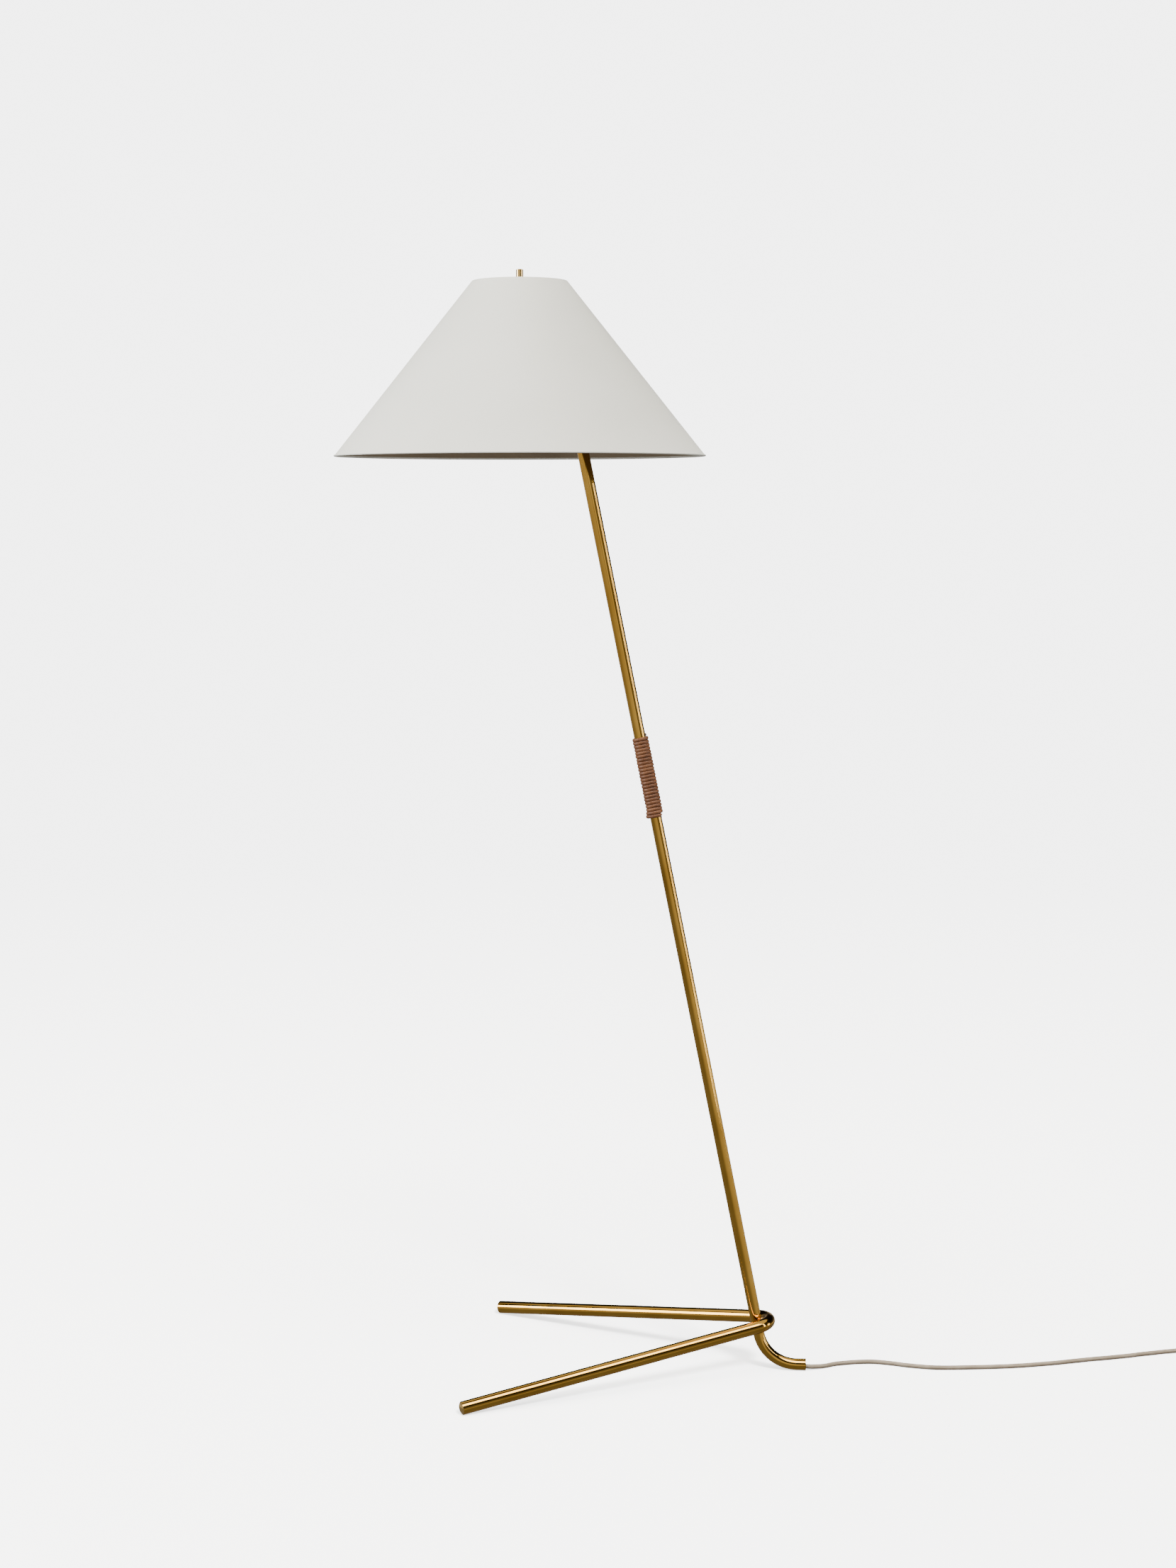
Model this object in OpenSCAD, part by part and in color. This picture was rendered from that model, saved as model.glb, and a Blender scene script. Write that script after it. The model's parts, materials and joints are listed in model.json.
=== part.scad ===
// Tripod floor lamp: a leaning brass stem with a turned-up tail, a hairpin leg that wraps round it,
// and a tilting head with a white cone shade. Millimetres, +Z up, Y=0 is the plane of symmetry.
// The origin is on the floor, in the middle of the lamp's own box (cord left out).

/* [Stem] */
// Outside diameter of the stem tube
stem_d = 15.5; // [13:0.1:18]
// Wall of the stem tube
stem_wall = 1.2; // [0.8:0.1:2]
// Lean of the stem away from the vertical, in degrees
stem_lean = 11.4; // [6:0.1:16]
// Straight length of the stem tube above the knot
stem_len = 1224; // [950:1:1500]
// Centreline radius of the tail bend
tail_bend_r = 52; // [35:1:60]
// Straight part of the tail, flat on the floor
tail_len = 13; // [12:1:60]

/* [Legs] */
// Outside diameter of the leg tube
leg_d = 17.4; // [14:0.1:20]
// Wall of the leg tube
leg_wall = 1.4; // [1:0.1:2.5]
// Horizontal distance from the knot forward to the ends of the legs
leg_reach = 375; // [300:1:460]
// Half of the angle between the legs, in degrees
leg_half_angle = 25.7; // [18:0.1:34]
// Slope of the plane that the legs lie in, in degrees
leg_slope = 8.6; // [7.5:0.1:11]
// Centreline radius of the hairpin bend
hairpin_r = 26; // [22:0.5:32]
// Height of the domed end of each leg
foot_dome_h = 3.2; // [1.5:0.1:5]

/* [Grip] */
// Distance from the knot up to the bottom of the grip
grip_start = 702; // [300:1:900]
// Width of one turn of the leather lace
lace_w = 4.7; // [3:0.1:7]
// Thickness of the leather lace
lace_t = 3.3; // [2:0.1:4]
// Turns of lace
lace_turns = 24; // [8:1:40]

/* [Tilting head] */
// Distance from the shade's axis back to the tilt pivot
arm_reach = 73; // [62:1:90]
// Diameter of the carrier arm
arm_d = 8; // [6:0.5:10]
// Diameter of the hinge bolt
bolt_d = 5; // [4:0.5:6]
// Thickness of the tongue on the arm
tongue_t = 6; // [4:0.5:8]
// Thickness of each cheek of the fork
cheek_t = 4; // [3:0.5:5]
// Radius of the fork's round body
fork_r = 10; // [9:0.5:13]
// Diameter of the clamp knob
knob_d = 20; // [16:1:26]
// Length of the clamp knob
knob_len = 13; // [10:1:20]

/* [Lampholder and bulb] */
// Outside diameter of the threaded tube that carries the lampholder
nipple_d = 10; // [9.5:0.1:12]
// Outside diameter of the lampholder
holder_d = 39; // [36:1:46]
// Height of the lampholder's lower cup
cup_h = 17; // [16:1:24]
// Height of the lampholder's upper sleeve
sleeve_h = 36; // [32:1:42]
// Wall of the lampholder's cup and sleeve
holder_wall = 1.5; // [1:0.1:2]
// Diameter of the bulb's screw cap
cap_d = 26.4; // [26:0.1:27]
// Diameter of the bulb's glass
bulb_d = 60; // [45:1:66]
// Height of the bulb from its contact to the top of the glass
bulb_h = 104; // [95:1:115]

/* [Harp] */
// Diameter of the harp wire
harp_wire_d = 3.5; // [3:0.1:4.5]
// Half of the distance between the harp's lower ends
harp_foot = 27; // [25:0.5:32]
// Angle that the harp's sides open by, in degrees
harp_open = 8; // [6:0.5:10]
// Height of the harp's top above the tilt pivot
harp_top = 160; // [152:1:175]

/* [Shade] */
// Diameter of the shade at the bottom
shade_bottom_d = 490; // [400:1:560]
// Diameter of the shade at the top
shade_top_d = 125; // [104:1:160]
// Height of the shade
shade_h = 228; // [205:1:260]
// Thickness of the spun metal of the shade
shade_t = 1; // [0.8:0.1:2]
// Depth from the tilt pivot down to the shade's bottom edge
shade_drop = 57; // [45:1:62]
// Diameter of the wire that stiffens the shade's edges
ring_wire_d = 3; // [2:0.1:4]
// Diameter of the finial
finial_d = 9.5; // [8:0.1:14]
// Height of the finial
finial_h = 20.5; // [14:0.5:26]

/* [Cord] */
// Outside diameter of the mains cord
cord_d = 6; // [5:0.1:6.4]
// Diameter across the middle of the coil's turns
coil_d = 66; // [60:1:72]
// Turns side by side in the coil
coil_wide = 2; // [1:1:2]
// Turns on top of each other in the coil
coil_high = 3; // [1:1:3]
// Length of the foot switch
switch_len = 84; // [80:1:90]
// Width of the foot switch
switch_w = 44; // [40:1:48]
// Height of the foot switch's lower case
switch_base_h = 17; // [16:0.5:20]
// Height of the foot switch's cover
switch_cover_h = 7; // [6:0.5:9]
// Diameter of the foot switch's button
button_d = 26; // [22:1:30]
// Travel of the button
button_travel = 3; // [2:0.5:4]
// Diameter of each plug pin
pin_d = 4; // [4:0.1:4.8]
// Length of each plug pin
pin_len = 19; // [15:1:20]
// Distance between the plug pins
pin_gap = 18.6; // [17:0.1:19.2]

/* [Fits] */
// Radial clearance of a shaft that turns in its hole
run_gap = 0.05; // [0.02:0.01:0.1]
// Gap between faces that move past each other
move_gap = 0.3; // [0.2:0.05:0.5]
// Radial gap between pieces that are fitted and don't move
fit_gap = 0.02; // [0.01:0.01:0.05]

/* [Hidden] */
$fn = 96;
eps = 0.01;
stem_r = stem_d / 2;
bore_r = stem_r - stem_wall;
leg_r = leg_d / 2;
cord_r = cord_d / 2;

// Knot: the point where the legs' plane crosses the stem's axis. Lengths along X start here.
leg_pitch = asin(sin(leg_slope) * cos(leg_half_angle));
foot_z = leg_r * cos(leg_pitch);
knot_z = foot_z + leg_reach * tan(leg_slope);
braze_gap = 0.2;
lap = 0.02;
bend_thin = 0.1;
hairpin_x = stem_r / cos(stem_lean - leg_slope) + braze_gap + leg_r - hairpin_r;
foot_spigot = 12;
leg_len = (hairpin_x + hairpin_r * sin(leg_half_angle) + leg_reach / cos(leg_slope)) / cos(leg_half_angle);
foot_y = hairpin_r * cos(leg_half_angle) + leg_len * sin(leg_half_angle);

// Tail: the stem's bend ends flat on the floor.
tail_turn = 90 - stem_lean;
bend_top_z = stem_r + tail_bend_r * (1 - sin(stem_lean));
bend_top_s = (bend_top_z - knot_z) / cos(stem_lean);
tail_x = -bend_top_s * sin(stem_lean) + tail_bend_r * cos(stem_lean) + tail_len;
stem_run = stem_len - bend_top_s;
bush_len = 10;

// Head: the pivot is on the stem's axis, above the fork's slot.
slot_depth = 10.5;
fork_body_h = 12;
spigot_len = 12;
pivot_s = stem_len + fork_body_h + slot_depth;
pivot_x = -pivot_s * sin(stem_lean);
pivot_z = knot_z + pivot_s * cos(stem_lean);
shade_x = pivot_x - arm_reach;
washer_t = 0.8;
fork_pin_d = 3;
bolt_head_r = 4.5;
bolt_head_h = 3;
knob_end = 3;
knob_flutes = 18;
face_gap = 0.1;
cheek_in = tongue_t / 2 + face_gap + washer_t;
cheek_out = cheek_in + cheek_t;
tongue_r = slot_depth - 1.5;
eye_r = 11;
eye_t = 6;
saddle_t = 2;
saddle_w = 14;
nut_h = 4;
nut_af = 14;
nipple_low = -12;
nipple_high = eye_t / 2 + saddle_t + 7;
cup_z = eye_t / 2 + saddle_t;
sleeve_z = cup_z + cup_h;
holder_r = holder_d / 2;
cap_r = cap_d / 2;
cap_wall = 0.6;
insul_z = nipple_high + 1;
insul_t = 9;
contact_h = 4;
shell_z = insul_z + insul_t;
shell_t = 0.8;
shell_h = 27;
bulb_z = shell_z + contact_h + move_gap;
cap_h = 25;
tip_h = 2;
glass_z = bulb_z + bulb_h - bulb_d / 2;

// Harp: each side rises, opens by harp_open and turns in over the bulb.
stud_r = 7;
stud_h = 6.6;
stud_pin_r = 3;
harp_z0 = cup_z + 1;
harp_end = stud_r - 3;
harp_rise = harp_top - harp_z0;
harp_k = tan(harp_open);
harp_turn_r = (harp_foot - harp_end + harp_rise * harp_k) / (cos(harp_open) + (1 + sin(harp_open)) * harp_k);
harp_run = (harp_rise - harp_turn_r * (1 + sin(harp_open))) / cos(harp_open);

// Shade: everything inside it hangs from its top edge.
shade_top = shade_h - shade_drop;
shade_k = (shade_bottom_d - shade_top_d) / 2 / shade_h;
shade_side = sqrt(1 + shade_k * shade_k);
ring_inset = (shade_t + ring_wire_d / 2 + 0.05) * shade_side;
hub_t = 2;
hub_z = harp_top + stud_h / 2 + fit_gap;
hub_r = 11;
top_ring_z = hub_z + ring_wire_d / 2;
top_ring_r = shade_top_d / 2 + (shade_top - top_ring_z) * shade_k - ring_inset;
rim_ring_z = -shade_drop + ring_wire_d / 2 + 0.5;
rim_ring_r = shade_bottom_d / 2 - (shade_drop + rim_ring_z) * shade_k - ring_inset;
finial_z = hub_z + hub_t + move_gap;
stud_top = finial_z + finial_h - 4;

// Flex inside the stem: it lies along the underside and leaves through the side below the fork.
flex_wall = 1;
flex_low = bore_r - cord_r - flex_wall;
flex_high = 2.2;
flex_bend_r = 4.2 * cord_d;
exit_angle = 38;
exit_s = stem_len - spigot_len - 7;
exit_u = -stem_r - 3.4;
grommet_t = 0.9;
flex_turn_u = flex_high - flex_bend_r * (1 - cos(exit_angle));
flex_turn_s = exit_s - (flex_turn_u - exit_u) / tan(exit_angle) - flex_bend_r * sin(exit_angle);
exit_x = -exit_s * sin(stem_lean) + exit_u * cos(stem_lean);
exit_z = knot_z + exit_s * cos(stem_lean) + exit_u * sin(stem_lean);
exit_heading = 90 + stem_lean + exit_angle;
dip_heading = 188;
dip_x = flex_bend_r * (sin(dip_heading) - sin(exit_heading) - 1 + sin(dip_heading));
dip_run = (shade_x - exit_x - dip_x) / cos(dip_heading);
dip_z = exit_z + flex_bend_r * (cos(exit_heading) - 2 * cos(dip_heading)) + dip_run * sin(dip_heading);

// The lamp's own box runs from the shade's far edge to the end of the tail.
mid_x = (shade_x - shade_bottom_d / 2 + tail_x) / 2;

// Mains cord, measured from the end of the tail: it lies on the floor in one loose wave.
cord_exit_z = stem_r - flex_low;
lie_z = cord_r + 0.1;
switch_x = 604;
switch_y = 116;
switch_cord_z = 6.5;
relief_len = 20;
run_points = [[0, 0, cord_exit_z], [6, 0.8, 4.7], [14, 4, 3.9], [25, 9.5, lie_z], [42, 20, lie_z],
    [65, 28, lie_z], [90, 32, lie_z], [112, 29, lie_z], [140, 21, lie_z], [176, 16, lie_z],
    [224, 21, lie_z], [272, 29, lie_z], [310, 39, lie_z], [346, 51, lie_z], [385, 66, lie_z],
    [431, 82, lie_z], [465, 96, lie_z], [496, 108, lie_z], [514, 113, 3.7], [528, 115.4, 5.2],
    [switch_x - switch_len / 2 - relief_len, switch_y, switch_cord_z]];
link_points = [[switch_x + switch_len / 2 + relief_len, switch_y, switch_cord_z], [674, 115.6, 6.1],
    [686, 112, 5], [696, 103, 4.3], [699.5, 89, 4], [696, 75, 4], [686, 65.5, 4], [672, 62, 4],
    [650, 62, 4], [630, 62, 4], [614, 62, 4]];
end_points = [[560, 10, 9], [560, -2, 8.2], [560, -14, 7.6]];
coil_x = 596;
coil_y = 26;
coil_lift = 1;
coil_r = coil_d / 2;
coil_half_w = coil_wide * cord_r;
coil_h = coil_high * cord_d;
tie_t = 0.8;
tie_w = 8;
tie_gap = 0.5;
tie_angle = 315;

// Foot switch: the cord runs through it along the floor of the lower case.
case_wall = 2;
switch_posts = [[-27, 12], [27, -12]];
post_r = 4;
screw_r = 1.5;
screw_head_r = 3;
block_z = 10.5;
block_t = 2.5;
flange_t = 1.5;
case_top = switch_base_h + switch_cover_h;
flange_z = case_top - case_wall - move_gap - flange_t;
spring_r = 8;
spring_wire = 1;
spring_turns = 4;

// Plug: two round pins, lying flat on the floor.
plug_x = 560;
plug_y = -14;
plug_z = 7.6;
plug_t = 15;
plug_len = 34;
plug_w = 35;
neck_len = 18;
pin_root = 8;
pin_tang_r = 1.5;

module place() { translate([-mid_x, 0, 0]) children(); }
module on_stem(s) {
    place() translate([-s * sin(stem_lean), 0, knot_z + s * cos(stem_lean)])
        rotate([0, -stem_lean, 0]) children();
}
module on_pivot() { place() translate([pivot_x, 0, pivot_z]) children(); }
module on_axis(z = 0) { place() translate([shade_x, 0, pivot_z + z]) children(); }
module in_leg_plane() { place() translate([0, 0, knot_z]) rotate([0, -leg_slope, 0]) children(); }
module from_tail() { place() translate([tail_x, 0, 0]) children(); }
module at_switch() { from_tail() translate([switch_x, switch_y, 0]) children(); }
module both_sides() {
    children();
    mirror([0, 1, 0]) children();
}

// A path of tube: each piece starts at the origin, heading +Z, and its children go on from its end.
// The tube draws down a little in its bends.
module run(len, d) {
    cylinder(h = len + lap, d = d);
    translate([0, 0, len]) children();
}
module turn(r, a, d) {
    side = a < 0 ? -1 : 1;
    rotate([0, 0, a < 0 ? 180 : 0]) translate([r, 0, 0]) rotate([90, 0, 180])
        rotate_extrude(angle = abs(a), $fn = 64) translate([r, 0]) circle(d = d - bend_thin, $fn = 64);
    translate([side * r * (1 - cos(a)), 0, r * sin(abs(a))]) rotate([0, a, 0]) children();
}

// Swept cords: a smooth curve through hand-placed points, with a ring of points at each step.
cord_sides = 10;
cord_steps = 2;
function unit(v) = v / norm(v);
function at(p, i) = p[max(0, min(len(p) - 1, i))];
function between(a, b, c, d, t) =
    (2 * b + (c - a) * t + (2 * a - 5 * b + 4 * c - d) * t * t + (3 * b - a - 3 * c + d) * t * t * t) / 2;
function smooth(p, n) = concat(
    [for (i = [0 : len(p) - 2], k = [0 : n - 1]) between(at(p, i - 1), p[i], p[i + 1], at(p, i + 2), k / n)],
    [p[len(p) - 1]]);
function heading(c, i, first, last) = i == 0 ? first : i == len(c) - 1 ? last : unit(c[i + 1] - c[i - 1]);
function ring(c, t, r, n, up0) =
    let (side = unit(cross(t, up0)), up = cross(side, t))
    [for (k = [0 : n - 1]) c + r * (cos(360 * k / n) * side + sin(360 * k / n) * up)];
module swept(c, r, n, first, last, up0 = [0, 0, 1]) {
    rows = len(c);
    points = [for (i = [0 : rows - 1]) each ring(c[i], heading(c, i, first, last), r, n, up0)];
    walls = [for (i = [0 : rows - 2], k = [0 : n - 1])
        [i * n + k, i * n + (k + 1) % n, (i + 1) * n + (k + 1) % n, (i + 1) * n + k]];
    ends = [[for (k = [n - 1 : -1 : 0]) k], [for (k = [0 : n - 1]) (rows - 1) * n + k]];
    polyhedron(points = points, faces = concat(walls, ends));
}
function toward(h) = [cos(h), 0, sin(h)];
function on_arc(x, z, r, h0, h1, n) =
    let (s = h1 > h0 ? 1 : -1)
    [for (k = [0 : n]) let (h = h0 + (h1 - h0) * k / n)
        [x + s * r * (sin(h) - sin(h0)), 0, z - s * r * (cos(h) - cos(h0))]];
function stem_x(s, u) = u * cos(stem_lean) - s * sin(stem_lean);
function stem_z(s, u) = knot_z + s * cos(stem_lean) + u * sin(stem_lean);
module cord_along(p, first, last) {
    from_tail() swept(smooth(p, cord_steps), cord_r, cord_sides, first, last);
}

// Stand
module stem_path(d, over = 0) {
    from_tail() translate([over, 0, stem_r]) rotate([0, -90, 0])
        run(tail_len + over, d) turn(tail_bend_r, tail_turn, d) run(stem_run + over, d);
}
module exit_way(d) {
    on_stem(exit_s) translate([exit_u, 0, 0]) rotate([0, -exit_angle, 0])
        translate([0, 0, -14]) cylinder(d = d, h = 24);
}
module pin_hole(d, len) { rotate([90, 0, 0]) cylinder(d = d, h = len, center = true); }
module stem_tube() {
    color("darkgoldenrod") difference() {
        stem_path(stem_d);
        stem_path(2 * bore_r, 1);
        exit_way(cord_d + 2 * grommet_t);
        on_stem(stem_len - spigot_len / 2) pin_hole(fork_pin_d + 2 * fit_gap, stem_d + 2);
    }
}
module leg_path(d, over = 0) {
    in_leg_plane() translate([hairpin_x, 0, 0]) {
        rotate([0, 0, leg_half_angle - 90]) rotate_extrude(angle = 180 - 2 * leg_half_angle, $fn = 64)
            translate([hairpin_r, 0]) circle(d = d - bend_thin, $fn = 64);
        both_sides() rotate([0, 0, 90 - leg_half_angle]) translate([hairpin_r, -lap, 0]) rotate([-90, 0, 0])
            cylinder(d = d, h = leg_len + lap + over);
    }
}
module leg_hairpin() {
    color("darkgoldenrod") difference() {
        leg_path(leg_d);
        leg_path(leg_d - 2 * leg_wall, 1);
    }
}
module braze_fillet() {
    color("goldenrod") difference() {
        in_leg_plane() translate([stem_r - 3, 0, 0]) rotate([0, 90, 0]) cylinder(r = 6, h = 6.5);
        on_stem(-30) cylinder(d = stem_d, h = 60);
        in_leg_plane() translate([hairpin_x, 0, 0])
            rotate_extrude() translate([hairpin_r, 0]) circle(d = leg_d);
    }
}
module foot_plug() {
    dome_r = (leg_r * leg_r + foot_dome_h * foot_dome_h) / (2 * foot_dome_h);
    in_leg_plane() translate([-leg_reach / cos(leg_slope), -foot_y, 0]) rotate([0, 0, leg_half_angle])
        rotate([0, -90, 0]) {
            translate([0, 0, -foot_spigot]) cylinder(r = leg_r - leg_wall - fit_gap, h = foot_spigot + eps);
            intersection() {
                cylinder(r = leg_r, h = foot_dome_h);
                translate([0, 0, foot_dome_h - dome_r]) sphere(r = dome_r);
            }
        }
}
module foot_plug_front() { color("goldenrod") foot_plug(); }
module foot_plug_rear() { color("goldenrod") mirror([0, 1, 0]) foot_plug(); }
module grip_lace() {
    groove = 1.4;
    crown_r = (lace_w * lace_w / 4 + groove * groove) / (2 * groove);
    grip_len = lace_w * lace_turns;
    color("saddlebrown") on_stem(grip_start) rotate_extrude() difference() {
        union() {
            translate([stem_r, 0]) square([lace_t - groove + 0.2, grip_len]);
            for (k = [0 : lace_turns - 1])
                translate([stem_r + lace_t - crown_r, (k + 0.5) * lace_w]) circle(r = crown_r);
        }
        translate([-2 * stem_d, -lace_w]) square([2 * stem_d + stem_r + fit_gap, grip_len + 2 * lace_w]);
    }
}
module tail_bush() {
    color("dimgray") from_tail() translate([-bush_len - 0.5, 0, stem_r]) rotate([0, 90, 0]) difference() {
        cylinder(r = bore_r - fit_gap, h = bush_len);
        translate([flex_low, 0, -1]) cylinder(r = cord_r + fit_gap, h = bush_len + 2);
    }
}
module stem_flex() {
    tail_arc = on_arc(tail_x - tail_len, stem_r - flex_low, tail_bend_r + flex_low, 180, 90 + stem_lean, 14);
    exit_arc = on_arc(stem_x(flex_turn_s, flex_high), stem_z(flex_turn_s, flex_high), flex_bend_r,
        90 + stem_lean, exit_heading, 5);
    way = concat([[tail_x, 0, stem_r - flex_low]], tail_arc, exit_arc, [[exit_x, 0, exit_z]]);
    color("tan") place() swept(way,
        cord_r, cord_sides, toward(180), toward(exit_heading), [0, 1, 0]);
}
module exit_grommet() {
    color("dimgray") difference() {
        intersection() {
            exit_way(cord_d + 2 * grommet_t - 2 * fit_gap);
            on_stem(exit_s - 30) difference() {
                cylinder(r = stem_r + 1, h = 50);
                translate([0, 0, -1]) cylinder(r = bore_r - 0.6, h = 52);
            }
        }
        exit_way(cord_d + 2 * fit_gap);
    }
}

// Fork and hinge
module fork() {
    color("goldenrod") on_stem(pivot_s) difference() {
        union() {
            translate([0, 0, -slot_depth - fork_body_h - spigot_len])
                cylinder(r = bore_r - fit_gap, h = spigot_len + eps);
            translate([0, 0, -slot_depth - fork_body_h]) cylinder(r = fork_r, h = fork_body_h);
            intersection() {
                translate([0, 0, -slot_depth - eps]) cylinder(r = fork_r, h = slot_depth + tongue_r + 2);
                union() {
                    translate([-tongue_r, -cheek_out, -slot_depth - eps])
                        cube([2 * tongue_r, 2 * cheek_out, slot_depth + eps]);
                    pin_hole(2 * tongue_r, 2 * cheek_out);
                }
            }
        }
        translate([-2 * fork_r, -cheek_in, -slot_depth])
            cube([4 * fork_r, 2 * cheek_in, 2 * fork_r + slot_depth]);
        pin_hole(bolt_d + 2 * fit_gap, 4 * fork_r);
        translate([0, 0, -slot_depth - fork_body_h - spigot_len / 2])
            pin_hole(fork_pin_d + 2 * fit_gap, 4 * fork_r);
    }
}
module fork_pin() { color("gold") on_stem(stem_len - spigot_len / 2) pin_hole(fork_pin_d, stem_d - 0.2); }
module hinge_bolt() {
    color("gold") on_pivot() difference() {
        union() {
            translate([0, cheek_out + bolt_head_h, 0]) rotate([90, 0, 0])
                cylinder(d = bolt_d, h = bolt_head_h + 2 * cheek_out + move_gap + knob_len - knob_end);
            translate([0, cheek_out + bolt_head_h, 0]) rotate([90, 0, 0])
                cylinder(r = bolt_head_r, h = bolt_head_h);
        }
        translate([-2 * bolt_head_r, cheek_out + bolt_head_h - 1.2, -0.6]) cube([4 * bolt_head_r, 2, 1.2]);
    }
}
module friction_washers() {
    color("dimgray") on_pivot() both_sides() translate([0, -tongue_t / 2 - face_gap, 0]) rotate([90, 0, 0])
        difference() {
            cylinder(r = tongue_r - 1, h = washer_t);
            translate([0, 0, -1]) cylinder(r = bolt_d / 2 + fit_gap, h = washer_t + 2);
        }
}
module clamp_knob() {
    color("gold") on_pivot() translate([0, -cheek_out - move_gap, 0]) rotate([90, 0, 0]) difference() {
        union() {
            cylinder(d = knob_d, h = knob_len - 1);
            translate([0, 0, knob_len - 1]) cylinder(d1 = knob_d, d2 = knob_d - 2, h = 1);
        }
        translate([0, 0, -1]) cylinder(r = bolt_d / 2 + run_gap, h = knob_len - knob_end + 1 + move_gap);
        for (k = [0 : knob_flutes - 1]) rotate([0, 0, 360 * k / knob_flutes])
            translate([knob_d / 2 + 0.5, 0, 2]) cylinder(r = 1.2, h = knob_len, $fn = 24);
    }
}

// Carrier arm and lampholder
module carrier_arm() {
    neck = fork_r + 5;
    color("goldenrod") on_pivot() difference() {
        union() {
            pin_hole(2 * tongue_r, tongue_t);
            translate([-neck, -tongue_t / 2, -arm_d / 2]) cube([neck, tongue_t, arm_d]);
            translate([-arm_reach + eye_r - 1.5, 0, 0]) rotate([0, 90, 0])
                cylinder(d = arm_d, h = arm_reach - eye_r + 1.5 - fork_r - 2);
            translate([-arm_reach, 0, -eye_t / 2]) cylinder(r = eye_r, h = eye_t);
        }
        pin_hole(bolt_d + 2 * run_gap, tongue_t + 2);
        translate([-arm_reach, 0, -eye_t]) cylinder(d = nipple_d + 2 * fit_gap, h = 2 * eye_t);
    }
}
module nipple() {
    color("gold") on_axis(nipple_low) difference() {
        cylinder(d = nipple_d, h = nipple_high - nipple_low);
        translate([0, 0, -1]) cylinder(r = cord_r + 0.3, h = nipple_high - nipple_low + 2);
    }
}
module nipple_nut() {
    color("gold") on_axis(-eye_t / 2 - nut_h) difference() {
        cylinder(r = nut_af / 2 / cos(30), h = nut_h, $fn = 6);
        translate([0, 0, -1]) cylinder(d = nipple_d + 2 * fit_gap, h = nut_h + 2);
    }
}
module harp_saddle() {
    ferrule_r = harp_wire_d / 2 + 1.8;
    color("goldenrod") on_axis() difference() {
        union() {
            translate([-saddle_w / 2, -harp_foot - ferrule_r, eye_t / 2])
                cube([saddle_w, 2 * (harp_foot + ferrule_r), saddle_t]);
            both_sides() translate([0, harp_foot, harp_z0 - 1.5]) rotate([-harp_open, 0, 0])
                cylinder(r = ferrule_r, h = 10);
        }
        both_sides() translate([0, harp_foot, harp_z0]) rotate([-harp_open, 0, 0])
            cylinder(r = harp_wire_d / 2 + fit_gap, h = 12);
        cylinder(d = nipple_d + 2 * fit_gap, h = 3 * eye_t);
    }
}
module holder_cup() {
    color("black") on_axis(cup_z) difference() {
        cylinder(d = holder_d, h = cup_h);
        translate([0, 0, case_wall]) cylinder(r = holder_r - holder_wall, h = cup_h);
        translate([0, 0, -1]) cylinder(d = nipple_d + 2 * fit_gap, h = cup_h);
    }
}
module holder_sleeve() {
    color("black") on_axis(sleeve_z) difference() {
        union() {
            cylinder(r = holder_r - 0.6, h = sleeve_h);
            for (z = [0.25, 0.5, 0.75]) translate([0, 0, z * sleeve_h]) cylinder(r = holder_r, h = 2);
        }
        translate([0, 0, -1]) cylinder(r = holder_r - 0.6 - holder_wall, h = sleeve_h + 2);
    }
}
module holder_insulator() {
    color("white") on_axis(insul_z) difference() {
        cylinder(r = holder_r - holder_wall - fit_gap, h = insul_t);
        both_sides() translate([0, 7, -1]) cylinder(r = 1.5, h = insul_t + 2);
    }
}
module holder_contact() { color("gold") on_axis(shell_z) cylinder(r = 3, h = contact_h); }
module screw_shell() {
    color("gold") on_axis(shell_z) difference() {
        cylinder(r = cap_r + run_gap + shell_t, h = shell_h);
        translate([0, 0, -1]) cylinder(r = cap_r + run_gap, h = shell_h + 2);
    }
}
module bulb_cap() {
    color("silver") on_axis(bulb_z) difference() {
        union() {
            cylinder(r = 4.5, h = tip_h + eps);
            translate([0, 0, tip_h]) cylinder(r = cap_r, h = cap_h);
        }
        translate([0, 0, tip_h + 1]) cylinder(r = cap_r - cap_wall, h = cap_h);
    }
}
module bulb_form(wall) {
    neck_r = cap_r - cap_wall - fit_gap - wall;
    ball_r = bulb_d / 2 - wall;
    flare = 35;
    neck_top = bulb_z + tip_h + cap_h + 1;
    on_axis(bulb_z + tip_h + cap_h / 2 - wall) cylinder(r = neck_r, h = cap_h / 2 + 1 + wall + eps);
    on_axis(neck_top)
        cylinder(r1 = neck_r, r2 = ball_r * cos(flare), h = glass_z - ball_r * sin(flare) - neck_top);
    on_axis(glass_z) sphere(r = ball_r);
}
module bulb_glass() {
    color("white", 0.6) difference() {
        bulb_form(0);
        bulb_form(0.8);
    }
}
module bulb_filament() {
    post_z = bulb_z + tip_h + cap_h / 2;
    cage_r = 8;
    cage_low = glass_z - 18;
    cage_h = 32;
    color("orange") {
        on_axis(post_z) cylinder(r = cap_r - cap_wall - fit_gap - 1.2, h = 2);
        on_axis(post_z + 1) cylinder(r = 2, h = cage_low - post_z);
        for (z = [cage_low, cage_low + cage_h]) on_axis(z) cylinder(r = cage_r + 0.6, h = 1);
        on_axis(cage_low) for (k = [0 : 3]) rotate([0, 0, 45 + 90 * k])
            translate([cage_r - 0.6, 0, 0]) cylinder(r = 1, h = cage_h, $fn = 24);
    }
}
module harp_wires() {
    color("gold") on_axis(harp_z0) both_sides() translate([0, harp_foot, 0]) rotate([-harp_open, 0, 0])
        rotate([0, 0, -90]) run(harp_run, harp_wire_d) turn(harp_turn_r, 90 + harp_open, harp_wire_d);
}
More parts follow.
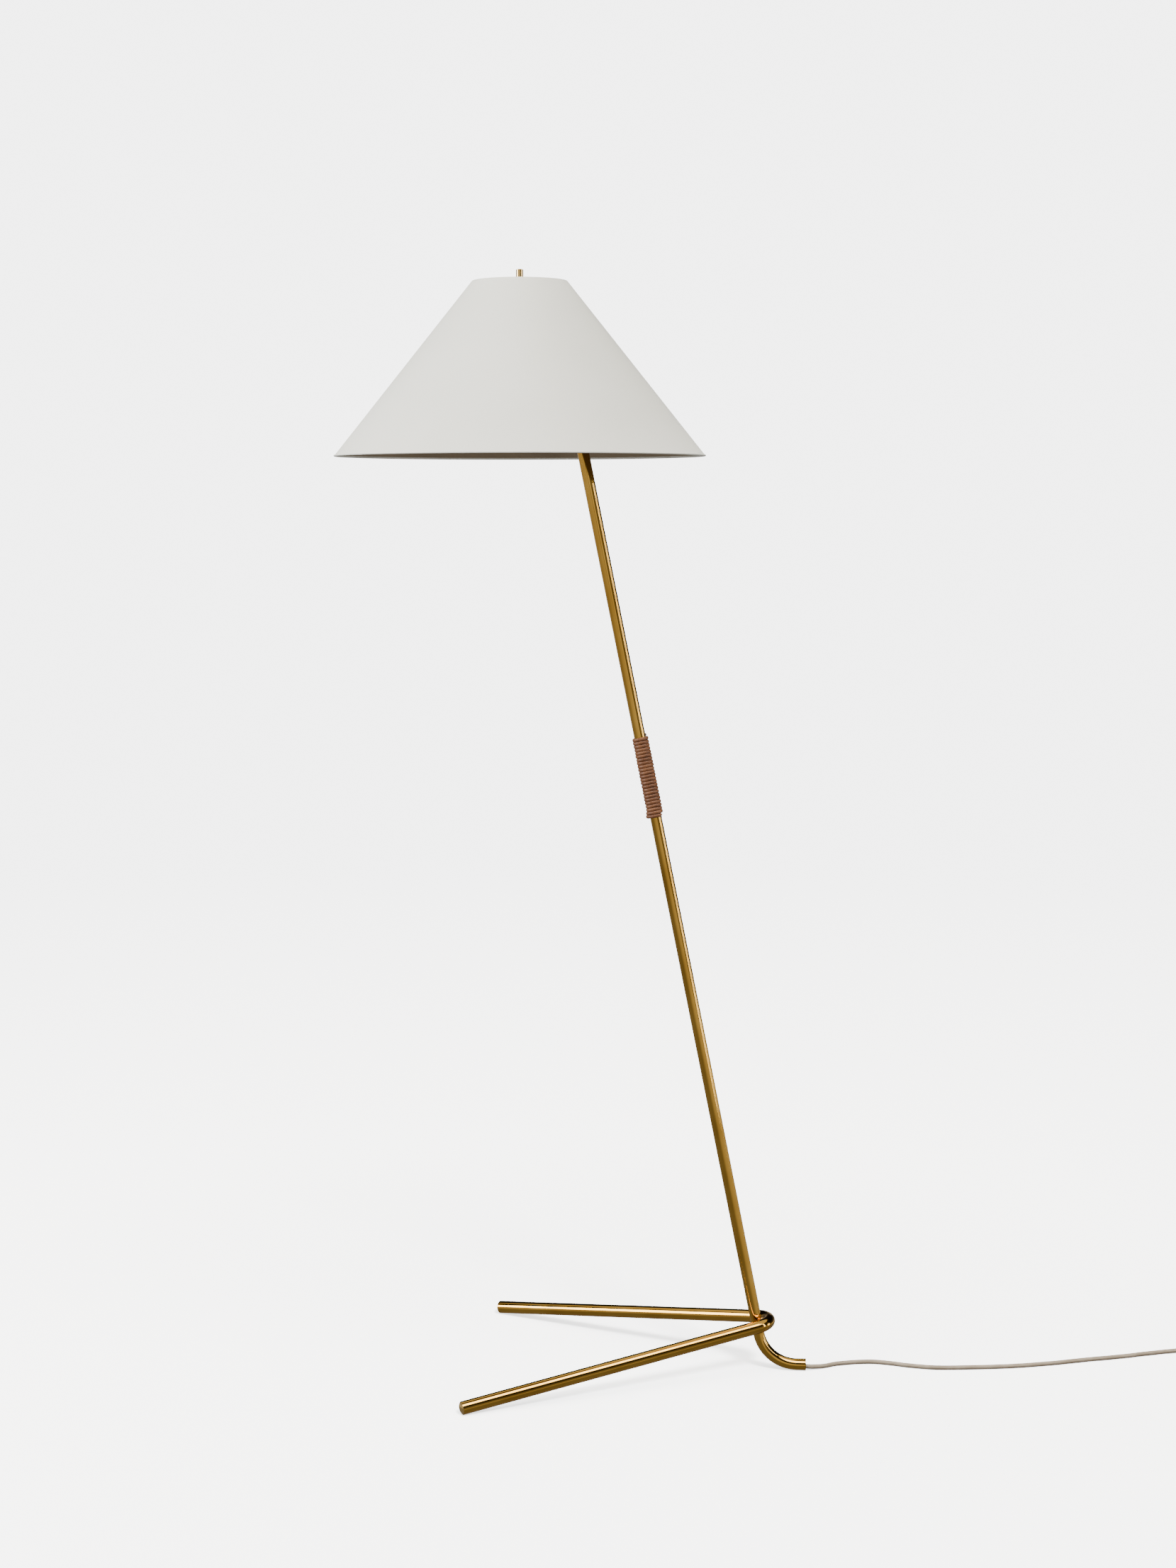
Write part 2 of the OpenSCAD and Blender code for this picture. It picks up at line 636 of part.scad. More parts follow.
module harp_stud() {
    color("gold") on_axis(harp_top) difference() {
        union() {
            cylinder(r = stud_r, h = stud_h, center = true);
            cylinder(r = stud_pin_r, h = stud_top - harp_top);
        }
        pin_hole(harp_wire_d + 2 * fit_gap, 4 * stud_r);
    }
}

// Shade
module spider() {
    arm_z = top_ring_z - hub_z;
    color("gold") on_axis(hub_z) difference() {
        union() {
            cylinder(r = hub_r, h = hub_t);
            for (k = [0 : 2]) rotate([0, 0, 60 + 120 * k]) translate([hub_r - 2, 0, arm_z])
                rotate([0, 90, 0]) cylinder(d = ring_wire_d, h = top_ring_r - hub_r + 2);
            translate([0, 0, arm_z]) rotate_extrude() translate([top_ring_r, 0]) circle(d = ring_wire_d);
        }
        translate([0, 0, -1]) cylinder(r = stud_pin_r + fit_gap, h = hub_t + 2);
    }
}
module rim_ring() {
    color("white") on_axis(rim_ring_z) rotate_extrude() translate([rim_ring_r, 0]) circle(d = ring_wire_d);
}
module shade() {
    wall = shade_t * shade_side;
    color("white") on_axis(-shade_drop) rotate_extrude() polygon([[shade_bottom_d / 2 - wall, 0],
        [shade_bottom_d / 2, 0], [shade_top_d / 2, shade_h], [shade_top_d / 2 - wall, shade_h]]);
}
module finial() {
    color("gold") on_axis(finial_z) difference() {
        union() {
            cylinder(d = finial_d, h = finial_h - 0.6);
            translate([0, 0, finial_h - 0.6]) cylinder(d1 = finial_d, d2 = finial_d - 1.2, h = 0.6);
        }
        translate([0, 0, -1]) cylinder(r = stud_pin_r + run_gap, h = finial_h - 2);
    }
}
module head_lead() {
    dip_arc = on_arc(exit_x, exit_z, flex_bend_r, exit_heading, dip_heading, 5);
    rise_arc = on_arc(shade_x + flex_bend_r * (1 - sin(dip_heading)), dip_z + flex_bend_r * cos(dip_heading),
        flex_bend_r, dip_heading, 90, 9);
    color("tan") place() swept(concat(dip_arc, rise_arc, [[shade_x, 0, pivot_z + nipple_low]]),
        cord_r, cord_sides, toward(exit_heading), toward(90), [0, 1, 0]);
}
module holder_lead() { color("tan") on_axis(nipple_low) cylinder(d = cord_d, h = nipple_high - nipple_low); }

// Mains cord, foot switch and plug
module stadium(len, width, h) {
    translate([-(len - width) / 2, -width / 2, 0]) cube([len - width, width, h]);
    for (side = [-1, 1]) translate([side * (len - width) / 2, 0, 0]) cylinder(d = width, h = h);
}
module cord_run() { color("tan") cord_along(run_points, [1, 0, 0], [1, 0, 0]); }
module cord_link() { color("tan") cord_along(link_points, [1, 0, 0], [-1, 0, 0]); }
module cord_end() { color("tan") cord_along(end_points, [0, -1, 0], [0, -1, 0]); }
module switch_base() {
    color("dimgray") at_switch() difference() {
        union() {
            difference() {
                stadium(switch_len, switch_w, switch_base_h);
                translate([0, 0, case_wall])
                    stadium(switch_len - 2 * case_wall, switch_w - 2 * case_wall, switch_base_h);
            }
            for (p = switch_posts) translate(p) cylinder(r = post_r, h = switch_base_h);
        }
        for (p = switch_posts) translate(p) {
            translate([0, 0, -1]) cylinder(r = screw_r + fit_gap, h = switch_base_h + 2);
            translate([0, 0, -1]) cylinder(r = screw_head_r + fit_gap, h = 4);
        }
        translate([-switch_len, 0, switch_cord_z]) rotate([0, 90, 0])
            cylinder(r = cord_r + fit_gap, h = 2 * switch_len);
    }
}
module switch_cover() {
    color("dimgray") at_switch() translate([0, 0, switch_base_h]) difference() {
        union() {
            difference() {
                stadium(switch_len, switch_w, switch_cover_h);
                translate([0, 0, -case_wall])
                    stadium(switch_len - 2 * case_wall, switch_w - 2 * case_wall, switch_cover_h);
            }
            for (p = switch_posts) translate(p) cylinder(r = post_r, h = switch_cover_h - eps);
        }
        for (p = switch_posts) translate([p[0], p[1], -1])
            cylinder(r = screw_r + fit_gap, h = switch_cover_h - 1);
        cylinder(r = button_d / 2 + move_gap, h = 2 * switch_cover_h);
    }
}
module switch_reliefs() {
    color("dimgray") at_switch() for (side = [0, 180]) rotate([0, 0, side])
        translate([switch_len / 2, 0, switch_cord_z]) rotate([0, 90, 0])
        cylinder(r1 = 6, r2 = cord_r + 0.8, h = relief_len);
}
module switch_button() {
    color("silver") at_switch() {
        translate([0, 0, flange_z]) cylinder(r = button_d / 2 + 1.5, h = flange_t);
        translate([0, 0, flange_z]) cylinder(d = button_d, h = case_top + button_travel + 1 - flange_z);
    }
}
module switch_spring() {
    low = block_z + block_t + spring_wire / 2;
    high = flange_z - spring_wire / 2;
    turn_steps = 14;
    steps = spring_turns * turn_steps;
    helix = [for (k = [0 : steps]) [
        spring_r * cos(360 * k / turn_steps),
        spring_r * sin(360 * k / turn_steps),
        low + (high - low) * k / steps]];
    color("silver") at_switch() swept(helix, spring_wire / 2, 6, [0, 1, 0], [0, 1, 0]);
}
module switch_block() {
    color("ivory") at_switch() {
        translate([-15, -12, block_z]) cube([30, 24, block_t]);
        for (side = [-1, 1]) translate([-15, side * 9 - 1, case_wall])
            cube([30, 2, block_z - case_wall + eps]);
    }
}
module switch_screws() {
    color("silver") at_switch() for (p = switch_posts) translate(p) {
        translate([0, 0, 0.6]) cylinder(r = screw_head_r, h = 2.3);
        translate([0, 0, 2]) cylinder(r = screw_r, h = switch_base_h + switch_cover_h - 5);
    }
}
module cord_coil() {
    edge = cord_r * 0.8;
    low = coil_r - coil_half_w;
    high = coil_r + coil_half_w;
    color("tan") from_tail() translate([coil_x, coil_y, coil_lift]) rotate_extrude()
        polygon([[low + edge, 0], [high - edge, 0], [high, edge], [high, coil_h - edge],
            [high - edge, coil_h], [low + edge, coil_h], [low, coil_h - edge], [low, edge]]);
}
module cord_tie() {
    half = coil_half_w + tie_gap;
    color("dimgray") from_tail() translate([coil_x, coil_y, coil_lift]) rotate([0, 0, tie_angle])
        translate([coil_r, 0, 0]) difference() {
            translate([-half - tie_t, -tie_w / 2, -tie_t - 0.1])
                cube([2 * (half + tie_t), tie_w, coil_h + 2 * tie_t + 0.2]);
            translate([-half, -tie_w, -0.05]) cube([2 * half, 2 * tie_w, coil_h + 0.1]);
        }
}
module plug_body() {
    color("dimgray") from_tail() translate([plug_x, plug_y, 0]) difference() {
        union() {
            translate([0, 0, plug_z]) rotate([90, 0, 0]) cylinder(r1 = cord_r + 0.8, r2 = 6, h = neck_len);
            translate([0, -neck_len, plug_z - plug_t / 2]) linear_extrude(plug_t)
                polygon([[-8, 0], [8, 0], [plug_w / 2, -14], [plug_w / 2, -plug_len],
                    [-plug_w / 2, -plug_len], [-plug_w / 2, -14]]);
        }
        for (side = [-1, 1]) translate([side * pin_gap / 2, -neck_len - plug_len - 1, plug_z])
            rotate([-90, 0, 0]) cylinder(r = pin_tang_r + fit_gap, h = pin_root + 1);
    }
}
module plug_pins() {
    color("silver") from_tail() for (side = [-1, 1])
        translate([plug_x + side * pin_gap / 2, plug_y - neck_len - plug_len, plug_z]) {
            rotate([90, 0, 0]) cylinder(d = pin_d, h = pin_len);
            rotate([-90, 0, 0]) translate([0, 0, -eps]) cylinder(r = pin_tang_r, h = pin_root + eps);
        }
}

stem_tube();
leg_hairpin();
braze_fillet();
foot_plug_front();
foot_plug_rear();
grip_lace();
tail_bush();
stem_flex();
exit_grommet();
fork();
fork_pin();
hinge_bolt();
friction_washers();
clamp_knob();
carrier_arm();
nipple();
nipple_nut();
harp_saddle();
holder_cup();
holder_sleeve();
holder_insulator();
holder_contact();
screw_shell();
bulb_cap();
bulb_glass();
bulb_filament();
harp_wires();
harp_stud();
spider();
rim_ring();
shade();
finial();
head_lead();
holder_lead();
cord_run();
switch_base();
switch_cover();
switch_reliefs();
switch_button();
switch_spring();
switch_block();
switch_screws();
cord_link();
cord_coil();
cord_tie();
cord_end();
plug_body();
plug_pins();
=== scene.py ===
"""Looks for the tripod floor lamp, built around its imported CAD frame. Metres, +Z up."""

import json
import math
import random

import bmesh
import bpy
from mathutils import Matrix, Vector


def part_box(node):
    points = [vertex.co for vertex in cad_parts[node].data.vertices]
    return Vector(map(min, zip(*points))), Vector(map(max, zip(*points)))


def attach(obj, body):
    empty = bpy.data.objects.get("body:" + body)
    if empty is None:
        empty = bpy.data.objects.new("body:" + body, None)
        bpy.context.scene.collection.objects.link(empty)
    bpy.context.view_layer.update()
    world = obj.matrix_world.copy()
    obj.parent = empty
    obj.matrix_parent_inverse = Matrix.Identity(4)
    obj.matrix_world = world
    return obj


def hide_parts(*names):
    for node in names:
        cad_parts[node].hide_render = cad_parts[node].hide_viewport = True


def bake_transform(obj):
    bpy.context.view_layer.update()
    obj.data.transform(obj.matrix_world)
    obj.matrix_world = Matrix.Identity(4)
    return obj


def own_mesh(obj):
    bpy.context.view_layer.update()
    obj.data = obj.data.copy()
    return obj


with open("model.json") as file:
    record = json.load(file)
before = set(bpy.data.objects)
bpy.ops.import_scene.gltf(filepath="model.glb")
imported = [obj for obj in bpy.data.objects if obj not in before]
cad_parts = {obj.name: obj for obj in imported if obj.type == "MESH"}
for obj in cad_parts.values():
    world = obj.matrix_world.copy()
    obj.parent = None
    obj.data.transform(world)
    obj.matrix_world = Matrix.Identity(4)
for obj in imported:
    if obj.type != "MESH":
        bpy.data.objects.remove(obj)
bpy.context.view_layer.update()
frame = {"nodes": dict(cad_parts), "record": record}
nodes = frame["nodes"]

MM = 0.001
Y, Z = Vector((0, 1, 0)), Vector((0, 0, 1))


def middle(node):
    low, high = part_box(node)
    return (low + high) / 2


# ---------------------------------------------------------------- camera
CAMERA_PLACE = (0.2907, -3.1878, 1.1211)
CAMERA_DOWN = 0.101      # radians below the horizontal
CAMERA_LEFT = 0.085      # radians towards -X
CAMERA_LENS = 55.33      # mm on a 36 mm sensor

camera_data = bpy.data.cameras.new("camera")
camera_data.lens = CAMERA_LENS
camera = bpy.data.objects.new("camera", camera_data)
camera.location = CAMERA_PLACE
camera.rotation_euler = (math.pi / 2 - CAMERA_DOWN, 0, CAMERA_LEFT)
bpy.context.scene.collection.objects.link(camera)
bpy.context.scene.camera = camera


# ---------------------------------------------------------------- node material helpers
class Nodes:
    """A material's node tree, with short calls to add and join nodes."""

    def __init__(self, name, **inputs):
        self.material = bpy.data.materials.new(name)
        self.material.use_nodes = True
        self.tree = self.material.node_tree
        self.shader = self.tree.nodes["Principled BSDF"]
        for key, value in inputs.items():
            self.shader.inputs[key.replace("_", " ")].default_value = value

    def add(self, kind, **settings):
        node = self.tree.nodes.new("ShaderNode" + kind)
        for key, value in settings.items():
            if hasattr(node, key):
                setattr(node, key, value)
            else:
                node.inputs[key.replace("_", " ")].default_value = value
        return node

    def join(self, out, into):
        self.tree.links.new(out, into)

    def place(self, scale=(1, 1, 1), turn=(0, 0, 0)):
        coordinates = self.add("TexCoord")
        mapping = self.add("Mapping")
        mapping.inputs["Scale"].default_value = scale
        mapping.inputs["Rotation"].default_value = turn
        self.join(coordinates.outputs["Object"], mapping.inputs["Vector"])
        return mapping.outputs["Vector"]

    def noise(self, scale, detail=3, where=None, roughness=0.55):
        node = self.add("TexNoise", Scale=scale, Detail=detail, Roughness=roughness)
        self.join(where or self.place(), node.inputs["Vector"])
        return node.outputs["Fac"]

    def ramp(self, fac, stops):
        node = self.add("ValToRGB")
        elements = node.color_ramp.elements
        while len(elements) < len(stops):
            elements.new(0.5)
        for element, (at, colour) in zip(elements, stops):
            element.position = at
            element.color = (*colour, 1)
        self.join(fac, node.inputs["Fac"])
        return node.outputs["Color"]

    def span(self, fac, low, high):
        node = self.add("MapRange")
        node.inputs["To Min"].default_value = low
        node.inputs["To Max"].default_value = high
        self.join(fac, node.inputs["Value"])
        return node.outputs["Result"]

    def colour(self, out):
        self.join(out, self.shader.inputs["Base Color"])

    def rough(self, out):
        self.join(out, self.shader.inputs["Roughness"])

    def bump(self, height, strength, distance):
        node = self.add("Bump")
        node.inputs["Strength"].default_value = strength
        node.inputs["Distance"].default_value = distance
        previous = self.shader.inputs["Normal"]
        if previous.is_linked:
            self.join(previous.links[0].from_socket, node.inputs["Normal"])
        self.join(height, node.inputs["Height"])
        self.join(node.outputs["Normal"], previous)


def brass_material(name, dark, light, low, high):
    """Brass that has toned unevenly, with handling haze and a faint grain. low and high: roughness."""
    m = Nodes(name, Metallic=1.0)
    tone = m.noise(14, detail=5)
    m.colour(m.ramp(tone, [(0.3, dark), (0.7, light)]))
    haze = m.noise(45, detail=4)
    m.rough(m.span(haze, low, high))
    m.bump(m.noise(260, detail=2), 0.03, 0.0001)
    return m.material


def plastic_material(name, dark, light, roughness, grain, depth, sheen=0.0):
    """Moulded plastic or rubber: two close tones, uneven gloss and a fine grain."""
    m = Nodes(name)
    m.colour(m.ramp(m.noise(35, detail=4), [(0.35, dark), (0.65, light)]))
    m.rough(m.span(m.noise(90, detail=3), roughness - 0.06, roughness + 0.06))
    m.bump(m.noise(grain, detail=2), 0.25, depth)
    if sheen:
        m.shader.inputs["Sheen Weight"].default_value = sheen
    return m.material


def leather_material():
    m = Nodes("leather", Specular_IOR_Level=0.4)
    tone = m.noise(70, detail=3)
    m.colour(m.ramp(tone, [(0.30, (0.105, 0.037, 0.013)), (0.55, (0.160, 0.060, 0.022)),
                           (0.75, (0.220, 0.088, 0.034))]))
    m.rough(m.span(m.noise(300, detail=3), 0.38, 0.62))
    m.bump(m.noise(1500, detail=4), 0.10, 0.0002)
    m.bump(m.noise(350, detail=2), 0.06, 0.0003)
    return m.material


def shade_material():
    """Matt white coating on sheet metal: very slight tone change and orange-peel."""
    m = Nodes("white_shade", Specular_IOR_Level=0.35)
    m.colour(m.ramp(m.noise(5, detail=2), [(0.35, (0.730, 0.728, 0.655)), (0.65, (0.760, 0.758, 0.690))]))
    m.rough(m.span(m.noise(25, detail=3), 0.52, 0.62))
    m.bump(m.noise(420, detail=2), 0.12, 0.0002)
    return m.material


def painted_shade_inside_material():
    """The inside, left without the white coat: dull metal in a dark warm brown that is painted shade,
    standing in for the shadow inside the cone.
    """
    m = Nodes("painted_shade_inside", Roughness=0.5, Metallic=0.3)
    m.colour(m.ramp(m.noise(12, detail=4), [(0.35, (0.270, 0.205, 0.130)), (0.65, (0.330, 0.255, 0.165))]))
    m.bump(m.noise(420, detail=2), 0.12, 0.0002)
    return m.material


def cord_material():
    m = Nodes("cord", Specular_IOR_Level=0.4)
    m.colour(m.ramp(m.noise(40, detail=4), [(0.35, (0.235, 0.185, 0.130)), (0.65, (0.315, 0.255, 0.190))]))
    m.rough(m.span(m.noise(120, detail=3), 0.42, 0.56))
    m.bump(m.noise(1200, detail=2), 0.2, 0.0002)
    return m.material


def glass_material():
    m = Nodes("bulb_glass", Roughness=0.02, IOR=1.45)
    m.shader.inputs["Transmission Weight"].default_value = 0.95
    m.colour(m.ramp(m.noise(20, detail=2), [(0.4, (0.97, 0.965, 0.95)), (0.6, (1.0, 0.995, 0.985))]))
    m.bump(m.noise(60, detail=2), 0.05, 0.0003)
    return m.material


def filament_material():
    m = Nodes("filament", Metallic=0.9)
    m.colour(m.ramp(m.noise(400, detail=2), [(0.4, (0.55, 0.33, 0.12)), (0.6, (0.80, 0.52, 0.22))]))
    m.rough(m.span(m.noise(300), 0.3, 0.5))
    return m.material


def nickel_material():
    m = Nodes("nickel", Metallic=1.0)
    m.colour(m.ramp(m.noise(60, detail=3), [(0.35, (0.60, 0.585, 0.56)), (0.65, (0.74, 0.73, 0.71))]))
    m.rough(m.span(m.noise(200, detail=3), 0.14, 0.28))
    m.bump(m.noise(900, detail=2), 0.1, 0.0001)
    return m.material


BRASS = brass_material("brass", (0.44, 0.235, 0.036), (0.58, 0.335, 0.066), 0.05, 0.11)
BRIGHT_BRASS = brass_material("bright_brass", (0.55, 0.36, 0.13), (0.72, 0.50, 0.20), 0.08, 0.18)
BRAZE = brass_material("braze", (0.34, 0.21, 0.07), (0.50, 0.33, 0.12), 0.25, 0.42)
LEATHER = leather_material()
SHADE_WHITE = shade_material()
# The shade's inside: a dark warm brown that is painted shade.
PAINTED_SHADE_INSIDE = painted_shade_inside_material()
CORD = cord_material()
GLASS = glass_material()
FILAMENT = filament_material()
NICKEL = nickel_material()
BLACK_PLASTIC = plastic_material("black_plastic", (0.010, 0.010, 0.011), (0.020, 0.020, 0.021),
                                 0.38, 900, 0.0002)
RUBBER = plastic_material("rubber", (0.012, 0.012, 0.012), (0.026, 0.025, 0.024),
                          0.62, 1400, 0.0003, sheen=0.1)
CERAMIC = plastic_material("ceramic", (0.74, 0.72, 0.67), (0.84, 0.82, 0.78), 0.22, 120, 0.0002)
FIBRE = plastic_material("fibre", (0.11, 0.045, 0.022), (0.21, 0.095, 0.050), 0.78, 1800, 0.0003)
BUTTON_GREY = plastic_material("button", (0.19, 0.19, 0.19), (0.25, 0.25, 0.245), 0.32, 700, 0.0002)
IVORY = plastic_material("ivory", (0.66, 0.58, 0.42), (0.76, 0.69, 0.54), 0.4, 600, 0.0002)

SLOT_MATERIALS = {
    "brass": BRASS, "bright_brass": BRIGHT_BRASS, "braze": BRAZE, "leather": LEATHER, "rubber": RUBBER,
    "fibre": FIBRE, "cord": CORD, "black_plastic": BLACK_PLASTIC, "ceramic": CERAMIC, "nickel": NICKEL,
    "bulb_glass": GLASS, "filament": FILAMENT, "white_shade": SHADE_WHITE, "button": BUTTON_GREY,
    "ivory": IVORY,
}
for entry in frame["record"]["subparts"]:
    cad_node = nodes[entry["node"]]
    cad_node.data.materials.clear()
    cad_node.data.materials.append(SLOT_MATERIALS[entry["material_slot"]])


# ---------------------------------------------------------------- mesh helpers
def new_piece(name, data, slot, body=None):
    """A piece in a slot's material, attached to the given body if there is one. One that
    bends across a joint rides on no single body.
    """
    piece = bpy.data.objects.new(name, data)
    bpy.context.scene.collection.objects.link(piece)
    data.materials.append(SLOT_MATERIALS[slot])
    if body:
        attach(piece, body)
    return piece


def mesh_from(bm, name, sharp=35):
    """Makes a mesh from bm, smooth except over edges sharper than sharp degrees."""
    bmesh.ops.recalc_face_normals(bm, faces=bm.faces)
    for face in bm.faces:
        face.smooth = True
    for edge in bm.edges:
        edge.smooth = len(edge.link_faces) == 2 and edge.calc_face_angle() < math.radians(sharp)
    mesh = bpy.data.meshes.new(name)
    bm.to_mesh(mesh)
    bm.free()
    return mesh


def revolved(name, profile, at, steps=160, sharp=35, closed=True):
    """A profile of (radius, height) points in metres, turned about the vertical line through at."""
    bm = bmesh.new()
    rings = []
    for k in range(steps):
        turn = 2 * math.pi * k / steps
        rings.append([bm.verts.new((at.x + r * math.cos(turn), at.y + r * math.sin(turn), at.z + h))
                      for r, h in profile])
    count = len(profile)
    for k in range(steps):
        a, b = rings[k], rings[(k + 1) % steps]
        for i in range(count if closed else count - 1):
            j = (i + 1) % count
            bm.faces.new((a[i], a[j], b[j], b[i]))
    bmesh.ops.remove_doubles(bm, verts=bm.verts, dist=1e-6)
    return mesh_from(bm, name, sharp)


def swept(name, centres, sections, sharp=35):
    """A tube through centres: sections[i] is the ring of points round centres[i]. Both ends are capped."""
    bm = bmesh.new()
    rings = [[bm.verts.new(p) for p in ring] for ring in sections]
    count = len(rings[0])
    for a, b in zip(rings, rings[1:]):
        for i in range(count):
            j = (i + 1) % count
            bm.faces.new((a[i], a[j], b[j], b[i]))
    bm.faces.new(rings[0][::-1])
    bm.faces.new(rings[-1])
    return mesh_from(bm, name, sharp)


# ---------------------------------------------------------------- switch spring
SPRING_WIRE = 1 * MM
SPRING_TURNS = 4
SPRING_STEPS = 24            # rings of points in one turn
WIRE_SIDES = 10              # points in one ring
spring_low, spring_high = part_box("switch_spring")
spring_mid = middle("switch_spring")


def spring_mesh():
    """A coil of round wire that fills the CAD spring's box."""
    radius = (spring_high.x - spring_low.x - SPRING_WIRE) / 2
    low, high = spring_low.z + SPRING_WIRE / 2, spring_high.z - SPRING_WIRE / 2
    steps = SPRING_STEPS * SPRING_TURNS
    centres, sections = [], []
    for k in range(steps + 1):
        turn = 2 * math.pi * k / SPRING_STEPS
        out = Vector((math.cos(turn), math.sin(turn), 0))
        centre = Vector((spring_mid.x, spring_mid.y, low + (high - low) * k / steps)) + out * radius
        centres.append(centre)
        sections.append([centre + (out * math.cos(a) + Z * math.sin(a)) * SPRING_WIRE / 2
                         for a in [2 * math.pi * i / WIRE_SIDES for i in range(WIRE_SIDES)]])
    return swept("button_spring", centres, sections, sharp=60)


spring = new_piece("button_spring", spring_mesh(), "nickel", "stand")
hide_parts("switch_spring")
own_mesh(spring)

# ---------------------------------------------------------------- cords
CORD_D = 6 * MM
CURVE_STEPS = 4              # pieces between two points of a route
TAIL_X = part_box("stem_tube")[1].x
# The routes repeat the CAD's points, in millimetres from the end of the tail.
RUN_POINTS = [
    (0, 0, 5.2), (6, 0.8, 4.7), (14, 4, 3.9), (25, 9.5, 3.1), (42, 20, 3.1), (65, 28, 3.1),
    (90, 32, 3.1), (112, 29, 3.1), (140, 21, 3.1), (176, 16, 3.1), (224, 21, 3.1), (272, 29, 3.1),
    (310, 39, 3.1), (346, 51, 3.1), (385, 66, 3.1), (431, 82, 3.1), (465, 96, 3.1), (496, 108, 3.1),
    (514, 113, 3.7), (528, 115.4, 5.2), (542, 116, 6.5),
]
LINK_POINTS = [
    (666, 116, 6.5), (674, 115.6, 6.1), (686, 112, 5), (696, 103, 4.3), (699.5, 89, 4), (696, 75, 4),
    (686, 65.5, 4), (672, 62, 4), (650, 62, 4), (630, 62, 4), (614, 62, 4),
]
END_POINTS = [(560, 10, 9), (560, -2, 8.2), (560, -14, 7.6)]
COIL_CENTRE = (596, 26)
# Angle in degrees, radius and height in mm: the wound cord changes lane between them, so that its turns
# never meet.
COIL_LANES = [
    (90, 36, 4), (420, 36, 4), (450, 30, 4), (720, 30, 4), (780, 30, 10), (1020, 30, 10),
    (1080, 30, 16), (1320, 30, 16), (1380, 36, 16), (1620, 36, 16), (1680, 36, 10), (1980, 36, 10),
]
COIL_STEP = 10               # degrees


def from_tail(p):
    return Vector((TAIL_X + p[0] * MM, p[1] * MM, p[2] * MM))


def smooth(points, steps):
    """A smooth curve through points, as the CAD draws it."""
    points = [Vector(p) for p in points]
    last = len(points) - 1
    out = []
    for i in range(last):
        a, b, c, d = points[max(i - 1, 0)], points[i], points[i + 1], points[min(i + 2, last)]
        for k in range(steps):
            t = k / steps
            out.append((2 * b + (c - a) * t + (2 * a - 5 * b + 4 * c - d) * t ** 2
                        + (3 * b - a - 3 * c + d) * t ** 3) / 2)
    return out + [points[-1]]


def coil_points():
    """The wound cord, in millimetres, eased from lane to lane."""
    out = []
    for (a0, r0, z0), (a1, r1, z1) in zip(COIL_LANES, COIL_LANES[1:]):
        for k in range(int((a1 - a0) / COIL_STEP)):
            t = k * COIL_STEP / (a1 - a0)
            ease = t * t * (3 - 2 * t)
            turn = math.radians(a0 + k * COIL_STEP)
            r = r0 + (r1 - r0) * ease
            out.append((COIL_CENTRE[0] + r * math.cos(turn), COIL_CENTRE[1] + r * math.sin(turn),
                        z0 + (z1 - z0) * ease))
    angle, r, z = COIL_LANES[-1]
    turn = math.radians(angle)
    return out + [(COIL_CENTRE[0] + r * math.cos(turn), COIL_CENTRE[1] + r * math.sin(turn), z)]


def cord_curve(name, points):
    data = bpy.data.curves.new(name, "CURVE")
    data.dimensions = "3D"
    data.bevel_depth = CORD_D / 2
    data.bevel_resolution = 5
    data.use_fill_caps = True
    line = data.splines.new("POLY")
    line.points.add(len(points) - 1)
    for point, p in zip(line.points, points):
        point.co = (*p, 1)
    line.use_smooth = True
    return new_piece(name, data, "cord", "stand")


run_line = [from_tail(p) for p in smooth(RUN_POINTS, CURVE_STEPS)]
run_cord = cord_curve("cord_to_switch", run_line)
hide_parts("cord_run")

plug_line = [from_tail(p) for p in (smooth(LINK_POINTS, CURVE_STEPS)[:-1] + coil_points()
                                    + smooth(END_POINTS, CURVE_STEPS)[1:])]
plug_cord = cord_curve("cord_to_plug", plug_line)
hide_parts("cord_link", "cord_coil", "cord_end")

# The lead from the stem to the lampholder: straight out, over a bend and up into the nipple.
LEAD_BEND = 25.2 * MM
LEAD_TURNS = [(139.4, 188), (188, 90)]     # headings in the XZ plane, in degrees from +X
LEAD_RUN = 21.9 * MM
LEAD_RUN_STEPS = 6
LEAD_TURN_STEPS = (10, 20)
LEAD_END, LEAD_END_STEPS = 1.6 * MM, 2     # the straight end, in steps of this length


def heading(degrees):
    return Vector((math.cos(math.radians(degrees)), 0, math.sin(math.radians(degrees))))


def lead_points():
    """From the nipple's bottom back to the stem, so that the upper end is exact."""
    nipple_low = Vector((middle("nipple").x, 0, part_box("nipple")[0].z))
    headings, steps = [], []
    for (h0, h1), count in zip(LEAD_TURNS, LEAD_TURN_STEPS):
        step = (h1 - h0) / count
        headings += [h0 + step * (k + 0.5) for k in range(count)]
        steps += [LEAD_BEND * math.radians(abs(step))] * count
        if h1 == LEAD_TURNS[0][1]:
            headings += [h1] * LEAD_RUN_STEPS
            steps += [LEAD_RUN / LEAD_RUN_STEPS] * LEAD_RUN_STEPS
    headings += [LEAD_TURNS[-1][1]] * LEAD_END_STEPS
    steps += [LEAD_END] * LEAD_END_STEPS
    points = [nipple_low]
    for h, step in reversed(list(zip(headings, steps))):
        points.append(points[-1] - heading(h) * step)
    return points[::-1]


def tube(name, points, radius, slot, sides=16):
    """A round tube through points that lie in one upright plane."""
    sections = []
    for i, p in enumerate(points):
        along = (points[min(i + 1, len(points) - 1)] - points[max(i - 1, 0)]).normalized()
        out = along.cross(Y)
        sections.append([p + (out * math.cos(a) + Y * math.sin(a)) * radius
                         for a in [2 * math.pi * k / sides for k in range(sides)]])
    return new_piece(name, swept(name, points, sections, sharp=60), slot)


lead_line = lead_points()
lead = tube("lead_to_holder", lead_line, CORD_D / 2, "cord")
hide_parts("head_lead")
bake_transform(lead)

